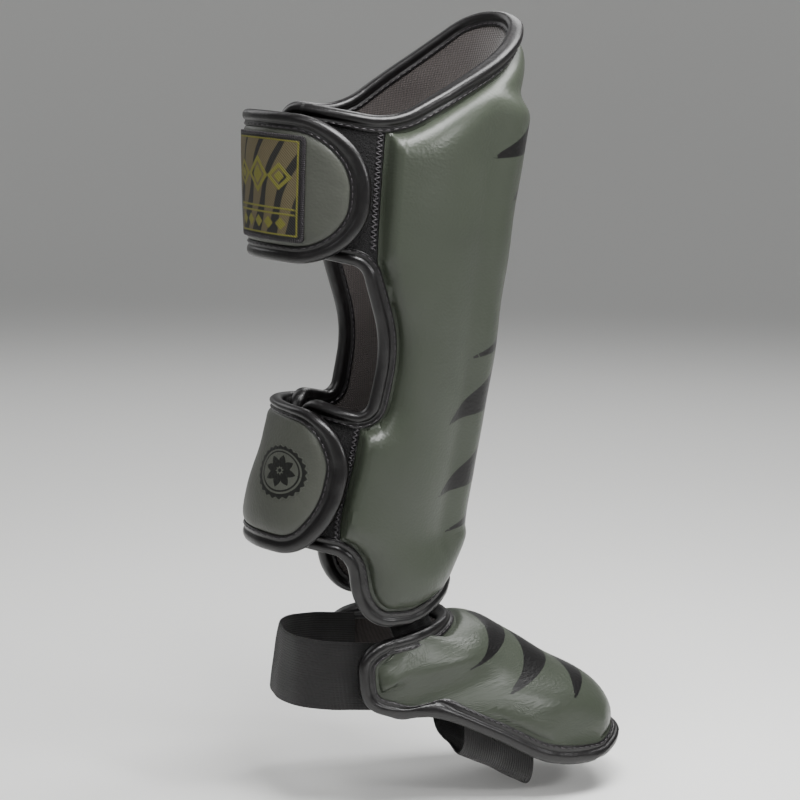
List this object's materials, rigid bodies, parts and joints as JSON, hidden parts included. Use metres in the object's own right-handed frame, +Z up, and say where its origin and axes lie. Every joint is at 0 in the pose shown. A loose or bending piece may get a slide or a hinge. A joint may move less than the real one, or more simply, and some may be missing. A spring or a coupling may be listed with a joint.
{
  "type": "muay thai shin guard",
  "caption": "Worn shin and instep guard: padded shell with side wings, wide wrap straps round the calf, padded instep and elastic ankle and foot bands.",
  "frame": {"origin": "on the middle line of the wearer's leg, level with the lower edge of the shin pad at its sides, just above the ankle", "axes": "+Z up the standing leg, +X towards the toes, -Y to the outer side of the leg, where the straps close"},
  "size_m": [0.2421, 0.1477, 0.4804],
  "materials": {
    "shell_leather": "satin, fine grain",
    "strap_leather": "satin, fine grain",
    "binding": "semi-gloss",
    "lining": "matt, brushed",
    "loop_fabric": "matt, looped pile",
    "hook_fabric": "matt, stiff hooks",
    "woven_badge": "woven",
    "elastic": "matt, fine ribs"
  },
  "bodies": {
    "root": {"shin_pad": "shell_leather", "shin_lining": "lining", "upper_loop_panel": "loop_fabric", "lower_loop_panel": "loop_fabric", "shin_binding": "binding", "upper_strap": "strap_leather", "upper_strap_binding": "binding", "upper_hook_panel": "hook_fabric", "upper_strap_patch": "woven_badge", "lower_strap": "strap_leather", "lower_strap_binding": "binding", "lower_hook_panel": "hook_fabric", "lower_strap_seal": "woven_badge", "instep_pad": "shell_leather", "instep_lining": "lining", "instep_binding": "binding", "ankle_strap": "elastic", "foot_strap": "elastic", "ankle_link": "elastic"}
  },
  "joints": []
}
